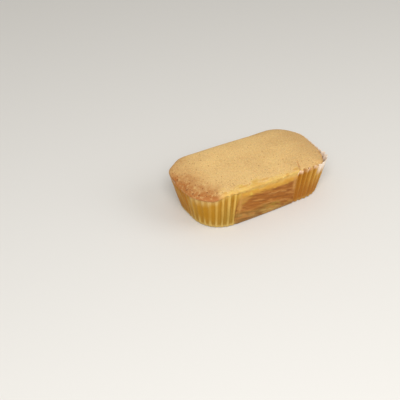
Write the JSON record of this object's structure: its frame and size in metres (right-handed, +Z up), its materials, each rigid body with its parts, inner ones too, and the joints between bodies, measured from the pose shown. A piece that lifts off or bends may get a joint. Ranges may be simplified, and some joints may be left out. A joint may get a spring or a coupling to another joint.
{
  "type": "lemon milk cake",
  "caption": "Small loaf-shaped lemon sponge cake with a browned flat-domed crust, standing in the pleated paper case it was baked in.",
  "frame": {"origin": "on the surface the case stands on, under the middle of the cake", "axes": "+X along the cake's length, -Y towards its near long side, +Z up"},
  "size_m": [0.1246, 0.063, 0.033],
  "materials": {
    "crust": null,
    "paper": "thin greased baking paper, golden where the yellow crumb shows through it"
  },
  "bodies": {
    "root": {"cake": "crust", "paper_case": "paper"}
  },
  "joints": []
}
